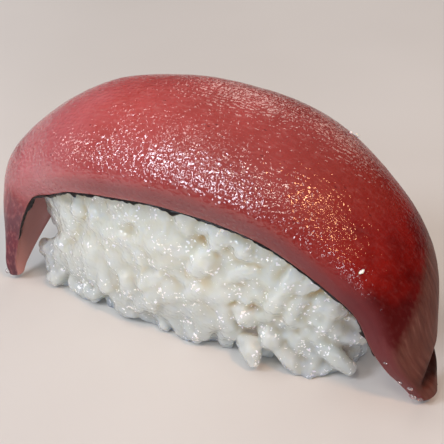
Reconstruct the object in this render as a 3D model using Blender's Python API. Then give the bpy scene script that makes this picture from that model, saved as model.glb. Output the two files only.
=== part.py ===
"""Nigiri: a long slice of raw fish domed over a hand-pressed block of rice, its two ends hanging down.

Metres, +Z up.  X runs along the slice and -Y is its front.  The rice stands on z = 0 and the whole is
centred over the origin.  A strip of dark skin lines the lower front edge of the slice.
"""

import math

import bmesh
import bpy
import numpy as np
from mathutils import Vector
from mathutils.bvhtree import BVHTree

MM = 0.001
GAP = 0.3 * MM  # clearance kept between neighbouring pieces
SEED = 7
NUDGE = 1e-4  # step along the crown, as a fraction, for reading its direction
SHARP = math.radians(60)  # edges sharper than this are shaded as creases

# --- Slice of fish --------------------------------------------------------------------------------
# The crown is the ridge along the top of the slice, from the left tip up and over to the right tip.
CROWN = np.array((
    (-37.6, 1.5), (-39.2, 10.2), (-36.5, 24.3), (-24.4, 35.8), (-6.7, 40.7),
    (25.4, 35.3), (36.9, 23.5), (40.5, 7.0), (41.4, 1.5),
)) * MM
# How far the slice reaches in front of its crown and behind it, and how far its edges drop below
# it, at fractions of the crown's length.
FRACTION = np.array((0.0, 0.07, 0.16, 0.3, 0.5, 0.7, 0.84, 0.93, 1.0))
FRONT_REACH = np.array((2.3, 5.4, 7.5, 13.9, 16.4, 14.4, 10.8, 6.6, 2.6)) * MM
BACK_REACH = np.array((2.0, 5.2, 10.8, 11.9, 12.5, 12.7, 9.4, 6.0, 2.2)) * MM
EDGE_DROP = np.array((2.2, 5.8, 9.7, 12.6, 13.6, 11.7, 8.7, 6.8, 3.0)) * MM
# The crown wanders sideways a little, as a slice laid by hand does.
WANDER_FRACTION = np.array((0.0, 0.14, 0.5, 0.86, 1.0))
WANDER = np.array((-7.0, -3.0, 1.6, -2.2, -4.4)) * MM

THICKNESS = 5.0 * MM  # under the crown, in the middle
TIP_THICKNESS = 2.6 * MM
BAND = 3.8 * MM  # height of the cut face below the shoulder
TIP_BAND = 1.8 * MM
BAND_LEAN = math.radians(9)  # the cut face slopes inwards as it goes down
THINNING = 0.22  # fraction of the length over which each end thins
THINNING_CURVE = 0.8  # below 1 the thinning comes mostly near the tip
ARCH = math.radians(66)  # how far the top turns from the crown to its shoulder
LEDGE = 2.6 * MM  # flat strip of underside along each lower edge
LEDGE_RISE = 1.1 * MM
TIP_BULGE = 1.1 * MM  # how far a rounded tip stands out past its last loop
TIP_ANGLES = (math.radians(35), math.radians(65))  # of the rings that round a tip
EDGE_RIPPLE = 0.1 * MM
RIPPLE_WAVES = (41, 67)  # radians over the slice's length
RIPPLE_PHASES = {"front": 1.0, "back": 2.5, "drop": 4.0}

# A fold runs down the back of the right end.
FOLD_DEPTH = 1.3 * MM
FOLD_START = 0.86
FOLD_AT = 0.62  # fraction of the arch, towards the back edge
FOLD_WIDTH = 0.16

SLICE_LOOPS = 60
TOP_POINTS = 17
UNDER_POINTS = 11

# --- Strip of skin --------------------------------------------------------------------------------
SKIN_FROM, SKIN_TO = 0.05, 0.93  # fractions of the crown's length
SKIN_THICKNESS = 0.5 * MM
SKIN_WIDTH = 2.0 * MM
SKIN_INSET = 0.15 * MM
SKIN_LOOPS = 70

# --- Block of rice --------------------------------------------------------------------------------
RICE_CENTRE = Vector((-3.5, 0.1, 0.0)) * MM
RICE_HEIGHTS = np.array((0.0, 1.5, 4.0, 10.0, 18.0, 27.0)) * MM
RICE_HALF_LENGTH = np.array((29.8, 30.9, 31.2, 31.2, 29.8, 28.0)) * MM
RICE_HALF_WIDTH = np.array((9.8, 10.7, 11.2, 11.9, 12.2, 11.8)) * MM
RICE_EXPONENT = 2.15  # 2 is an ellipse in plan, more is squarer
RICE_DOME = 12.0 * MM  # height of the rounded top above the walls, before the slice presses on it
RICE_AROUND = 104
RICE_WALL_RINGS = 20
RICE_DOME_RINGS = 5
CORE_HEIGHT = 12.0 * MM  # the block is trimmed along rays from a line inside it at this height
CORE_REACH = 20.0 * MM
CLEAR = 1.8 * GAP  # kept at the block's own points, so that the faces between them keep GAP
PASSES = 4

GRAIN_LENGTH = 6.8 * MM
GRAIN_WIDTH = 3.0 * MM
GRAINS_ON_WALL = 330
GRAIN_STANDS_OUT = 1.1 * MM
GRAINS_UP_TO = 0.85  # fraction of the wall's height, the rest being under the slice

FISH_RED = (0.50, 0.07, 0.06)
SKIN_BLACK = (0.015, 0.013, 0.015)
RICE_WHITE = (0.78, 0.77, 0.70)


def clear_scene():
    for obj in list(bpy.data.objects):
        bpy.data.objects.remove(obj, do_unlink=True)


def material(name, colour, roughness):
    made = bpy.data.materials.new(name)
    made.use_nodes = True
    shader = made.node_tree.nodes["Principled BSDF"]
    shader.inputs["Base Color"].default_value = (*colour, 1.0)
    shader.inputs["Roughness"].default_value = roughness
    shader.inputs["Metallic"].default_value = 0.0
    return made


def through(stops, values, at):
    """A smooth curve that passes through each value at its stop, read at the places given."""
    slopes = np.gradient(values, stops)
    left = np.clip(np.searchsorted(stops, at, side="right") - 1, 0, len(stops) - 2)
    width = stops[left + 1] - stops[left]
    s = (at - stops[left]) / width
    start = (1 + 2 * s) * (1 - s) ** 2 * values[left] + s * (1 - s) ** 2 * width * slopes[left]
    end = s * s * (3 - 2 * s) * values[left + 1] - s * s * (1 - s) * width * slopes[left + 1]
    return start + end


def crown(along):
    """Places on the crown line and the outward directions there, as (x, z) pairs."""
    steps = np.hypot(*np.diff(CROWN, axis=0).T)
    stops = np.concatenate(((0.0,), np.cumsum(steps))) / steps.sum()
    place = np.stack([through(stops, CROWN[:, i], along) for i in range(2)], axis=1)
    ahead = np.stack([through(stops, CROWN[:, i], along + NUDGE) for i in range(2)], axis=1)
    behind = np.stack([through(stops, CROWN[:, i], along - NUDGE) for i in range(2)], axis=1)
    tangent = ahead - behind
    tangent /= np.linalg.norm(tangent, axis=1, keepdims=True)
    outward = np.stack((-tangent[:, 1], tangent[:, 0]), axis=1)
    return place, outward


def ripple(along, edge):
    """The slight unevenness of a knife cut along the slice."""
    phase = RIPPLE_PHASES[edge]
    return EDGE_RIPPLE * sum(np.sin(wave * along + phase) for wave in RIPPLE_WAVES)


def slice_sizes(along):
    """The slice's sizes at fractions of its length, each as one column."""
    thinning = np.clip(np.minimum(along, 1 - along) / THINNING, 0, 1) ** THINNING_CURVE
    sizes = {
        "middle": through(WANDER_FRACTION, WANDER, along),
        "front": through(FRACTION, FRONT_REACH, along) + ripple(along, "front"),
        "back": through(FRACTION, BACK_REACH, along) + ripple(along, "back"),
        "drop": through(FRACTION, EDGE_DROP, along) + ripple(along, "drop"),
        "thickness": TIP_THICKNESS + (THICKNESS - TIP_THICKNESS) * thinning,
        "band": TIP_BAND + (BAND - TIP_BAND) * thinning,
        "thinning": thinning,
    }
    return {name: values[:, None] for name, values in sizes.items()}


def place_in_section(along, across, down):
    """Turns distances across the slice and below its crown into points in space."""
    place, outward = crown(along)
    x = place[:, :1] - outward[:, :1] * down
    z = place[:, 1:] - outward[:, 1:] * down
    return np.stack((x, across, z), axis=2)


def slice_loops(along):
    """Closed cross-sections of the slice: over the top, down the back cut face, under, up the front."""
    size = slice_sizes(along)
    shoulder_down = size["drop"] - size["band"] * math.cos(BAND_LEAN)
    lean = size["band"] * math.sin(BAND_LEAN)

    turn = np.linspace(-1, 1, TOP_POINTS)
    reach = np.where(turn < 0, size["front"], size["back"]) + lean
    across = size["middle"] + reach * np.sin(turn * ARCH) / math.sin(ARCH)
    down = shoulder_down * (1 - np.cos(turn * ARCH)) / (1 - math.cos(ARCH))
    folded = np.clip((along[:, None] - FOLD_START) / (1 - FOLD_START), 0, 1)
    down = down + FOLD_DEPTH * folded * np.exp(-(((turn - FOLD_AT) / FOLD_WIDTH) ** 2))

    turn = np.linspace(1, -1, UNDER_POINTS)
    ledge = LEDGE * size["thinning"]
    rise = LEDGE_RISE * size["thinning"]
    reach = np.where(turn < 0, size["front"], size["back"]) - ledge
    under = size["middle"] + reach * np.sin(turn * ARCH) / math.sin(ARCH)
    deep = size["thickness"] + (size["drop"] - rise - size["thickness"]) * (
        (1 - np.cos(turn * ARCH)) / (1 - math.cos(ARCH))
    )

    back_edge = size["middle"] + size["back"]
    front_edge = size["middle"] - size["front"]
    half_band = size["drop"] - size["band"] / 2
    across = (across, back_edge + lean / 2, back_edge, under, front_edge, front_edge - lean / 2)
    down = (down, half_band, size["drop"], deep, size["drop"], half_band)
    return place_in_section(along, np.concatenate(across, axis=1), np.concatenate(down, axis=1))


def rounded_tip(loop, outward):
    """Rings that shrink a loop to a rounded tip, ending with its one last point."""
    centre = loop.mean(axis=0)
    rings = [
        centre + (loop - centre) * math.cos(angle) + outward * TIP_BULGE * math.sin(angle)
        for angle in TIP_ANGLES
    ]
    return rings, centre + outward * TIP_BULGE


def tube_mesh(name, loops, start_point, end_point):
    """A closed mesh over loops of equal length, with a fan to one point at each end."""
    mesh = bmesh.new()
    rings = [[mesh.verts.new(point) for point in loop] for loop in loops]
    count = len(rings[0])
    for ring, following in zip(rings, rings[1:]):
        for i in range(count):
            j = (i + 1) % count
            mesh.faces.new((ring[i], ring[j], following[j], following[i]))
    for ring, point in ((rings[0], start_point), (rings[-1], end_point)):
        tip = mesh.verts.new(point)
        for i in range(count):
            mesh.faces.new((ring[i], ring[(i + 1) % count], tip))
    bmesh.ops.recalc_face_normals(mesh, faces=mesh.faces)
    data = bpy.data.meshes.new(name)
    mesh.to_mesh(data)
    mesh.free()
    data.shade_smooth()
    data.set_sharp_from_angle(angle=SHARP)
    return data


def add_object(name, data, finish):
    data.materials.append(finish)
    obj = bpy.data.objects.new(name, data)
    bpy.context.collection.objects.link(obj)
    return obj


def make_fish():
    along = np.linspace(0, 1, SLICE_LOOPS)
    loops = list(slice_loops(along))
    first_out = (loops[0] - loops[1]).mean(axis=0)
    last_out = (loops[-1] - loops[-2]).mean(axis=0)
    start_rings, start = rounded_tip(loops[0], first_out / np.linalg.norm(first_out))
    end_rings, end = rounded_tip(loops[-1], last_out / np.linalg.norm(last_out))
    data = tube_mesh("fish", start_rings[::-1] + loops + end_rings, start, end)
    return add_object("fish", data, material("raw red fish", FISH_RED, 0.3))


def make_skin_edge():
    """A thin strip under the ledge of the slice's front edge, its cross-section four points."""
    along = np.linspace(SKIN_FROM, SKIN_TO, SKIN_LOOPS)
    size = slice_sizes(along)
    outer = size["middle"] - size["front"] + SKIN_INSET
    inner = outer + SKIN_WIDTH * size["thinning"]
    slope = LEDGE_RISE / LEDGE
    top_outer = size["drop"] + GAP - SKIN_INSET * slope
    top_inner = top_outer - SKIN_WIDTH * size["thinning"] * slope
    across = np.concatenate((outer, inner, inner, outer), axis=1)
    down = (top_outer, top_inner, top_inner + SKIN_THICKNESS, top_outer + SKIN_THICKNESS)
    loops = place_in_section(along, across, np.concatenate(down, axis=1))
    data = tube_mesh("skin_edge", loops, loops[0].mean(axis=0), loops[-1].mean(axis=0))
    return add_object("skin_edge", data, material("dark fish skin", SKIN_BLACK, 0.35))


def rice_outline(height, shrink=1.0):
    """Plan outline of the block at a height on its wall, once round."""
    angle = np.linspace(0, 2 * math.pi, RICE_AROUND, endpoint=False)
    power = 2 / RICE_EXPONENT
    length = shrink * np.interp(height, RICE_HEIGHTS, RICE_HALF_LENGTH)
    width = shrink * np.interp(height, RICE_HEIGHTS, RICE_HALF_WIDTH)
    x = RICE_CENTRE.x + length * np.sign(np.cos(angle)) * np.abs(np.cos(angle)) ** power
    y = RICE_CENTRE.y + width * np.sign(np.sin(angle)) * np.abs(np.sin(angle)) ** power
    return np.stack((x, y, np.full(RICE_AROUND, height)), axis=1)


def rice_rings():
    """Rings of the block from its foot to near the top of its dome."""
    top = RICE_HEIGHTS[-1]
    rings = [rice_outline(height) for height in np.linspace(0, top, RICE_WALL_RINGS)]
    for angle in np.linspace(0, math.pi / 2, RICE_DOME_RINGS + 2)[1:-1]:
        ring = rice_outline(top, math.cos(angle))
        ring[:, 2] = top + RICE_DOME * math.sin(angle)
        rings.append(ring)
    return np.array(rings)


def core_points(points):
    """For each point, the nearest place on the line inside the block."""
    core = np.empty_like(points)
    core[..., 0] = np.clip(points[..., 0], RICE_CENTRE.x - CORE_REACH, RICE_CENTRE.x + CORE_REACH)
    core[..., 1] = RICE_CENTRE.y
    core[..., 2] = CORE_HEIGHT
    return core


def grain_relief(points, rng):
    """How far the wall stands out at each point, from grains lying at random in its surface."""
    angle = rng.uniform(0, 2 * math.pi, GRAINS_ON_WALL)
    height = rng.uniform(0, GRAINS_UP_TO * RICE_HEIGHTS[-1], GRAINS_ON_WALL)
    relief = np.zeros(points.shape[:-1])
    for grain_angle, grain_height in zip(angle, height):
        outline = rice_outline(grain_height)
        centre = outline[int(grain_angle / (2 * math.pi) * RICE_AROUND)]
        lie = rng.normal(size=3)
        lie /= np.linalg.norm(lie)
        offset = points - centre
        lengthwise = offset @ lie
        crosswise = np.sqrt(np.maximum((offset**2).sum(axis=-1) - lengthwise**2, 0))
        inside = 1 - (2 * lengthwise / GRAIN_LENGTH) ** 2 - (2 * crosswise / GRAIN_WIDTH) ** 2
        relief = np.maximum(relief, np.sqrt(np.maximum(inside, 0)))
    return relief * GRAIN_STANDS_OUT


def trim_under(points, neighbours):
    """Pulls points in towards the core until they are clear of the neighbours above them."""
    core = core_points(points)
    trimmed = points.copy()
    for index in np.ndindex(points.shape[:-1]):
        start = Vector(core[index])
        place = Vector(points[index])
        direction = (place - start).normalized()
        for tree in neighbours:
            hit, _, _, distance = tree.ray_cast(start, direction, (place - start).length + 2 * CLEAR)
            if hit is not None and distance - 2 * CLEAR < (place - start).length:
                place = start + direction * (distance - 2 * CLEAR)
        for _ in range(PASSES):
            nearest = min(tree.find_nearest(place)[3] for tree in neighbours)
            if nearest >= CLEAR:
                break
            place = place - direction * (CLEAR - nearest)
        trimmed[index] = place
    return trimmed


def relax(rings):
    """Rings with each point drawn halfway to the mean of the four around it, the foot left as it is."""
    around = np.roll(rings, 1, axis=1) + np.roll(rings, -1, axis=1)
    relaxed = rings.copy()
    relaxed[1:-1] = rings[1:-1] / 2 + (rings[:-2] + rings[2:] + around[1:-1]) / 8
    return relaxed


def ease_quads(rings, neighbours):
    """Draws the corners of a quad in wherever its middle is too close to a neighbour."""
    for _ in range(PASSES):
        inward = core_points(rings) - rings
        inward /= np.linalg.norm(inward, axis=-1, keepdims=True)
        pairs = rings[:-1] + rings[1:]
        middles = (pairs + np.roll(pairs, -1, axis=1)) / 4
        step = np.zeros(rings.shape[:2])
        for ring, column in np.ndindex(middles.shape[:2]):
            place = Vector(middles[ring, column])
            nearest = min(tree.find_nearest(place)[3] for tree in neighbours)
            if nearest < CLEAR:
                beside = (column + 1) % rings.shape[1]
                for corner in ((ring, column), (ring + 1, column), (ring, beside), (ring + 1, beside)):
                    step[corner] = max(step[corner], CLEAR - nearest)
        step[0] = 0
        rings = rings + inward * step[..., None]
    return rings


def make_rice(neighbours):
    rng = np.random.default_rng(SEED)
    rings = rice_rings()
    outward = rings - core_points(rings)
    outward[0, :, 2] = 0  # the foot stays flat on the ground
    outward /= np.linalg.norm(outward, axis=-1, keepdims=True)
    rings = rings + outward * grain_relief(rings, rng)[..., None]
    rings[..., 2] = np.maximum(rings[..., 2], 0)
    trees = [BVHTree.FromPolygons(*polygons(obj)) for obj in neighbours]
    rings[1:] = trim_under(rings[1:], trees)
    rings = relax(rings)
    rings[1:] = trim_under(rings[1:], trees)
    rings = ease_quads(rings, trees)
    crest = np.array(((RICE_CENTRE.x, RICE_CENTRE.y, RICE_HEIGHTS[-1] + RICE_DOME),))
    crest = trim_under(crest, trees)[0]
    foot = (RICE_CENTRE.x, RICE_CENTRE.y, 0.0)
    data = tube_mesh("rice", rings, foot, crest)
    return add_object("rice", data, material("cooked rice", RICE_WHITE, 0.4))


def polygons(obj):
    vertices = [vertex.co.copy() for vertex in obj.data.vertices]
    return vertices, [tuple(face.vertices) for face in obj.data.polygons]


def centre_on_origin(objects):
    """Parents the pieces to one empty that brings the middle of their box over the origin."""
    points = np.array([vertex.co for obj in objects for vertex in obj.data.vertices])
    low, high = points.min(axis=0), points.max(axis=0)
    middle = (low + high) / 2
    holder = bpy.data.objects.new("nigiri", None)
    bpy.context.collection.objects.link(holder)
    holder.location = (-middle[0], -middle[1], -low[2])
    for obj in objects:
        obj.parent = holder


clear_scene()
fish = make_fish()
skin_edge = make_skin_edge()
rice = make_rice((fish, skin_edge))
centre_on_origin((fish, skin_edge, rice))
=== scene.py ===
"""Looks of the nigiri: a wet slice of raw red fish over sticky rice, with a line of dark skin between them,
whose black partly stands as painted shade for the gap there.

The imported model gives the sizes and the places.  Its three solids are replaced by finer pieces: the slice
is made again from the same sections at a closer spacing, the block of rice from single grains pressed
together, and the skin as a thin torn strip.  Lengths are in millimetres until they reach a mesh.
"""

import math
from functools import partial

import bpy
import numpy as np
import openvdb
from mathutils import Matrix, Vector, noise


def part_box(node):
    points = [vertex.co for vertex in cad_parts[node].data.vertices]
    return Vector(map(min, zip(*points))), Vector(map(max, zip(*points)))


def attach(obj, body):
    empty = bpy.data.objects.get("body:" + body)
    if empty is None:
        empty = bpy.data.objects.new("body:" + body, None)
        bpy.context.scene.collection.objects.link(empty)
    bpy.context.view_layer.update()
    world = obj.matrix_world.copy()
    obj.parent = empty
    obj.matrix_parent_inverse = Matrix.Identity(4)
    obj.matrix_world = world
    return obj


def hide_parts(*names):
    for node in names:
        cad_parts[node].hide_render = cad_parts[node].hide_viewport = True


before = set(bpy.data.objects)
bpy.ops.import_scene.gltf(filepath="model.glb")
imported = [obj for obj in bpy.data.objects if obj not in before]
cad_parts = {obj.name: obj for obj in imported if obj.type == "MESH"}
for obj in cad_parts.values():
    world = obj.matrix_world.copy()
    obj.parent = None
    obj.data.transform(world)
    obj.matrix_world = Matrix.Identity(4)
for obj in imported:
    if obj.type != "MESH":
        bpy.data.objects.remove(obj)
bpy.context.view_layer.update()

MM = 0.001
SEED = 11

# --- Slice of fish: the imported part's own driving sizes ---
CROWN = np.array((
    (-37.6, 1.5), (-39.2, 10.2), (-36.5, 24.3), (-24.4, 35.8), (-6.7, 40.7),
    (25.4, 35.3), (36.9, 23.5), (40.5, 7.0), (41.4, 1.5),
))
FRACTION = np.array((0.0, 0.07, 0.16, 0.3, 0.5, 0.7, 0.84, 0.93, 1.0))
FRONT_REACH = np.array((2.3, 5.4, 7.5, 13.9, 16.4, 14.4, 10.8, 6.6, 2.6))
BACK_REACH = np.array((2.0, 5.2, 10.8, 11.9, 12.5, 12.7, 9.4, 6.0, 2.2))
EDGE_DROP = np.array((2.2, 5.8, 9.7, 12.6, 13.6, 11.7, 8.7, 6.8, 3.0))
WANDER_FRACTION = np.array((0.0, 0.14, 0.5, 0.86, 1.0))
WANDER = np.array((-7.0, -3.0, 1.6, -2.2, -4.4))
THICKNESS, TIP_THICKNESS = 5.0, 2.6
BAND, TIP_BAND = 3.8, 1.8
BAND_LEAN = math.radians(9)
THINNING, THINNING_CURVE = 0.22, 0.8
ARCH = math.radians(66)
LEDGE, LEDGE_RISE = 2.6, 1.1
TIP_BULGE = 1.1
EDGE_RIPPLE = 0.1
RIPPLE_WAVES = (41, 67)
RIPPLE_PHASES = {"front": 1.0, "back": 2.5, "drop": 4.0}
FOLD_DEPTH, FOLD_START, FOLD_AT, FOLD_WIDTH = 1.3, 0.86, 0.62, 0.16

# --- Slice of fish: spacing and finish of the fine surface ---
LOOPS = 340
TOP_POINTS = 104
BAND_POINTS = 13
UNDER_POINTS = 56
LEDGE_POINTS = 5
TIP_RINGS = 8
# Where each run of points round a section starts: top, back face, back ledge, under, front ledge, face.
RUN_STARTS = np.cumsum((
    0, TOP_POINTS, BAND_POINTS, LEDGE_POINTS, UNDER_POINTS, LEDGE_POINTS, BAND_POINTS
))
SHOULDER_PASSES, EDGE_PASSES = 50, 2  # rounds of easing at the soft shoulder and at the lower edge
LENGTH_PASSES = 120  # and along the slice
LEFT_HELD, RIGHT_HELD = (0.0, 0.08), (0.07, 0.2)  # shares of the length in which that easing sets in
NUDGE = 1e-4
CROWN_STEPS = np.hypot(*np.diff(CROWN, axis=0).T)
CROWN_LENGTH = CROWN_STEPS.sum()
FIBRE_STRETCH = 2.2  # how much longer than wide the flesh's fine marks are
FISH_RELIEF = ((0.14, 9, 1), (0.05, 2.6, 2), (0.02, 0.9, 3))  # depth and size of its lumps, and a seed
CUT_SMOOTHNESS = 0.7  # how much smoother the cut faces and the underside are
FACE_PASSES, UNDER_PASSES = 24, 4  # rounds of easing of their colours into the rest
FACE_IN = (0.12, 0.42)  # shares of the length in which the face's colour, partly painted shade, sets in
LEFT_TAPER, LEFT_TAPER_RUN = 0.6, 0.016  # the left end draws in to a narrow tip
GROOVE_DEPTH, GROOVE_AT, GROOVE_TURN, GROOVE_SLANT, GROOVE_WIDTH = 1.3, 0.945, 0.25, 19.0, 0.17
GROOVE_IN, GROOVE_OUT = (0.93, 0.95), (0.975, 0.99)  # shares of the length in which it starts and ends
SHADE_IN, SHADE_OUT = (0.935, 0.955), (0.972, 0.986)  # and in which the painted shade in it does
RIDGE_AT, RIDGE_SLANT = 0.815, 9.1  # line at which the band of brown muscle begins
PALE_END_AT, PALE_END_SLANT, PALE_END_RUN = 0.86, 0.14, 0.07  # and the brown-mauve end, partly painted shade
# How the fine slice's hanging ends settle off the imported one: fraction of the length, x, y, z.
SETTLE = np.array((
    (0.0, 1.0, -2.4, 0.2), (0.025, 0.9, -1.1, 0.1), (0.05, 0.7, -0.3, 0.0), (0.1, 0.1, -0.2, 0.0),
    (0.16, -0.8, -0.2, 0.0), (0.24, 0.1, 0.0, -0.2), (0.34, 0.1, 0.0, -0.1), (0.78, 0.0, 0.0, 0.0),
    (0.87, 0.45, 0.0, 0.0), (0.93, 0.1, 0.1, 0.0), (1.0, 0.0, 0.9, 0.4),
))
SETTLE_SPREAD = np.linspace(-0.02, 0.02, 5)  # its curve is averaged over this much of the length
BACK_SAG, BACK_SAG_AT, BACK_SAG_RUN = 0.9, 0.72, 0.09  # the back half lies lower here

# --- Block of rice ---
RICE_CENTRE = np.array((-3.5, 0.1))
RICE_HEIGHTS = np.array((0.0, 1.5, 4.0, 10.0, 18.0, 27.0))
RICE_HALF_LENGTH = np.array((29.8, 30.9, 31.2, 31.2, 29.8, 28.0))
RICE_HALF_WIDTH = np.array((9.8, 10.7, 11.2, 11.9, 12.2, 11.8))
RICE_EXPONENT = 2.15
OUTER_GRAINS = np.array((-0.3, 0.0, 0.4, 0.85, 0.85, 0.85))  # how far the outer grains stand past it
RICE_DOME = 12.0
VOXEL = 0.36
GRID_MARGIN = (3, 3, 2)
BLUR_REACH, BLUR_PASSES = 3, 3
CLEARANCE = 0.12  # between the rice and the underside of the slice
FOOT_GAP, LOWEST = 0.05, 0.02  # where the rice ends above the plate, before and after its fine relief
GRAIN_BLEND = 0.18  # how far sticky grains run into one another
PASTE_BLEND = 0.25
PASTE_DEPTHS = (-0.52, 0.3)  # how deep the starch between the grains lies below them
PASTE_PATCHES = 5.0
PRESSED_TO = 0.05  # the hand flattens grains that stand out further than this
PRESS_BLEND = 0.3
CORE_INSET = 1.6
GRAIN_LENGTHS = (5.8, 7.4)
GRAIN_WIDTHS = (2.7, 3.3)
# Each layer: tries, least room between neighbours, how far it stands out of the wall, heights.
LAYERS = (
    (500, 2.3, (-0.2, 0.7), (1.2, 2.4)),
    (2600, 2.35, (0.0, 0.8), (2.5, 30.0)),
    (3000, 1.75, (-0.75, -0.1), (1.0, 30.0)),
    (2500, 1.4, (-1.3, -0.7), (1.0, 30.0)),
)
LIE, TILT = (115.0, 45.0), (0.0, 12.0)  # degrees: most grains lean, pressed down by the fingers
BEND, ROD_BEND = 0.6, 0.2
BEND_AWAY = (0.3, 0.5, 0.81)  # any slanting direction: grains bend at right angles to it
STATIONS = 5  # points along a grain between which it keeps its distance from the others
GRAIN_REACH = 1.6
GRAIN_END, GRAIN_TAPER = 0.15, 0.22  # how far a grain's ends reach and how much slimmer they are
# How far the hand-pressed wall swells in and out, and its smaller lobes where grains have run
# together, each with its size.
SWELLS = ((0.8, 8.0), (0.45, 4.2))
BUMP_DEPTH, BUMP_SIZE = 0.2, 1.5  # unevenness of each grain
GRANULE_DEPTH, GRANULE_SIZE, GRANULE_PATCHES = 0.25, 1.1, 3.5  # swollen granules, in patches
# Grains that show singly on the front: from (along, up) to (along, up), how far they stand out, width.
FRONT_GRAINS = (
    ((15.0, 11.4), (18.9, 19.4), 0.5, 3.2),  # long upright grain on the right of the front
    ((21.4, 14.2), (25.4, 11.2), 0.7, 3.8),  # broad wet pair near the right corner
    ((21.0, 10.8), (24.8, 9.0), 0.5, 3.4),
    ((8.0, 26.4), (5.8, 20.9), 0.5, 3.9),  # leaning pair, end to end
    ((5.0, 20.6), (2.6, 15.4), 0.5, 3.8),
    ((9.2, 23.2), (12.2, 20.2), 0.35, 3.2),
    ((-20.5, 22.0), (-21.2, 17.4), 0.1, 3.0),  # soft upright grains under the left of the slice
    ((-16.6, 22.4), (-17.4, 18.0), 0.1, 3.0),
    ((-21.4, 4.2), (-19.6, 0.6), 0.7, 2.8),
    ((16.0, 4.4), (18.8, 0.6), 0.7, 2.9),
    ((13.6, 7.4), (16.0, 3.4), 0.3, 3.4),
    ((9.4, 11.0), (11.4, 7.2), 0.1, 3.4),
    ((19.6, 8.2), (23.8, 6.6), 0.1, 3.2),
    ((22.6, 9.8), (25.6, 7.0), 0.3, 2.9),
    ((0.0, 4.2), (1.8, 0.8), 0.5, 3.0),
)
# Grains that stand clear of the block's two ends, from end to end in space, with their width.
END_GRAINS = (
    ((21.6, -6.4, 6.2), (27.2, -4.6, 1.4), 3.0),  # big grain sliding off the right foot
    ((23.4, -5.0, 7.0), (28.0, -0.6, 6.2), 2.8),  # grains under the slice's right end
    ((24.2, -3.4, 9.6), (27.8, 0.8, 8.4), 2.7),
    ((11.4, -9.0, 5.2), (13.1, -11.1, 1.3), 2.7),  # single leg at the foot
    ((9.8, -9.2, 4.6), (12.4, -10.1, 2.4), 2.6),
    ((-29.0, -6.6, 6.9), (-33.9, -4.8, 6.0), 2.2),  # grain standing out at the left end
    ((-27.6, -8.4, 2.2), (-30.6, -7.0, 1.4), 2.6),
)
# Deep creases between clumps of grains on the front: from (along, up) to (along, up), width.
CREASES = (
    ((-7.3, 24.4), (-7.8, 21.2), 0.8),
    ((-7.9, 20.6), (-10.8, 20.2), 1.6),
    ((3.7, 22.6), (1.2, 16.4), 1.1),
    ((0.9, 15.6), (-2.2, 11.6), 1.6),
    ((9.3, 23.6), (7.8, 19.4), 1.9),
    ((7.6, 18.8), (4.2, 15.9), 1.2),
    ((16.8, 21.0), (15.8, 17.4), 1.7),
    ((20.9, 15.4), (20.2, 12.2), 1.5),
    ((-17.2, 0.6), (-15.6, 4.4), 2.4),
    ((-7.8, 0.6), (-6.4, 3.4), 2.2),
    ((14.6, 0.4), (14.2, 3.4), 2.4),
    ((-31.0, 12.8), (-26.6, 12.0), 1.6),
    ((-19.0, 18.0), (-20.6, 16.4), 1.0),
    ((9.6, 12.8), (11.6, 13.2), 1.0),
)
# Hollows at the block's left end and notches in its foot, from end to end in space, with their width.
HOLLOWS = (
    ((-26.9, -12.6, 15.8), (-43.5, 5.9, 1.0), 3.4),
    ((-25.1, -12.0, 15.0), (-41.4, 6.5, 0.2), 2.2),
    ((-26.5, -11.6, 16.9), (-43.1, 7.1, 2.3), 1.5),
    ((-28.1, -11.2, 18.7), (-44.9, 7.5, 4.5), 2.0),
    ((-28.3, -12.5, 8.4), (-41.0, 1.5, -3.4), 2.3),
    ((-23.4, -12.6, 0.0), (-23.8, -10.6, 0.6), 1.8),
    ((-16.8, -13.0, 0.0), (-17.2, -9.0, 0.8), 2.8),
    ((-11.6, -12.8, 0.0), (-11.8, -11.4, 0.4), 1.6),
    ((-7.2, -12.4, 0.0), (-7.7, -9.4, 0.6), 2.4),
    ((-1.6, -12.8, 0.0), (-2.0, -11.6, 0.4), 1.6),
    ((4.0, -12.6, 0.0), (3.8, -11.0, 0.4), 1.8),
    ((9.4, -12.0, 0.0), (9.2, -10.6, 0.4), 1.8),
    ((14.9, -12.8, 0.0), (14.3, -9.0, 1.0), 2.8),
    ((19.4, -10.6, 0.0), (19.2, -8.6, 0.3), 1.4),
    ((24.6, -8.0, 0.0), (24.2, -5.6, 0.3), 1.8),
)
# Foot of the block's front: how far it stands out of the wall at places along it.
FOOT_AT = np.array((-31.0, -22.0, -17.0, -12.0, -8.0, -3.0, 2.0, 7.0, 12.0, 15.0, 18.0, 21.5, 24.0, 27.0))
FOOT_OUT = np.array((1.3, 1.4, -0.5, 0.7, -0.4, 0.3, 0.4, -0.9, -0.6, 0.0, 2.4, 2.6, 1.2, -0.8))
FOOT_HEIGHT = 5.0
SQUARER_LEFT = 0.5  # the front's left corner is pressed squarer than the rest
CORNER_X, CORNER_Y = (-30.0, -25.0), (-8.0, 0.0)
LOOSE_FOOT = 0.8  # how much deeper the starch lies at the foot, where the grains hang loose
LOOSE_RIGHT, LOOSE_RIGHT_X = 0.25, (-10.0, 14.0)  # and towards the right end, where grains show singly
CLUMP_SIZES = np.array((6.4, 6.4, 8.0))  # clumps of grains that stick together
# CLUMP_EDGE_SHADE is painted shade along the edges of clumps.
CLUMP_EDGE, CLUMP_DEPTH, CLUMP_EDGE_SHADE = 0.1, 0.16, 0.02
CLUMP_WINDING, CLUMP_WINDING_SIZE = 1.3, 2.6
CREASE_IN = 0.4  # how deep a crease is pressed in
CREASE_BLEND = 0.5
CLEAR_BLEND = 0.4

# --- Camera ---
CAMERA_AZIMUTH, CAMERA_ELEVATION, CAMERA_ROLL = 31.0, 31.0, -0.6  # degrees
CAMERA_DISTANCE = 176.5
CAMERA_AIM = np.array((0.8, -0.1, 18.3))
CAMERA_LENS, SENSOR_WIDTH = 88.6, 36
NEAREST = 10.0

# --- Stage: sizes and distances in metres ---
FLOOR_REACH = 1.5
LAMP_DISTANCE = 0.6
ROOM_LIGHT = 0.48
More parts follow.
